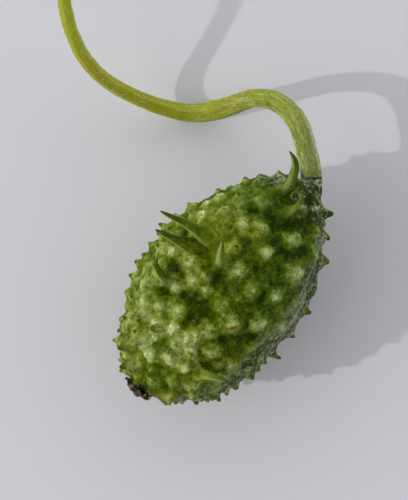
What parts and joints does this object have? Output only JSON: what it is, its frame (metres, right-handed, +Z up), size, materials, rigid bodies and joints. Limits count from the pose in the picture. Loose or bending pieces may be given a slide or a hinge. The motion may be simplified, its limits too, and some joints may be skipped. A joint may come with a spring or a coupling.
{
  "type": "west indian gherkin",
  "caption": "Fresh warty oval gherkin fruit lying on its side, with a long curved green stalk and the dry remnant of its flower.",
  "frame": {"origin": "on the resting surface, in the flat spot under the middle of the fruit", "axes": "+X along the fruit to its stalk end, +Z up from the surface, +Y to the side that the stalk bends towards"},
  "size_m": [0.0597, 0.0749, 0.0323],
  "materials": {
    "gherkin_skin": "fresh green skin, pale warts, soft satin",
    "stalk_skin": "fresh yellow-green stalk, finely ridged, satin",
    "dry_flower": "withered brown, matte"
  },
  "bodies": {
    "root": {"fruit": "gherkin_skin", "stalk": "stalk_skin", "flower_remnant": "dry_flower"}
  },
  "joints": []
}
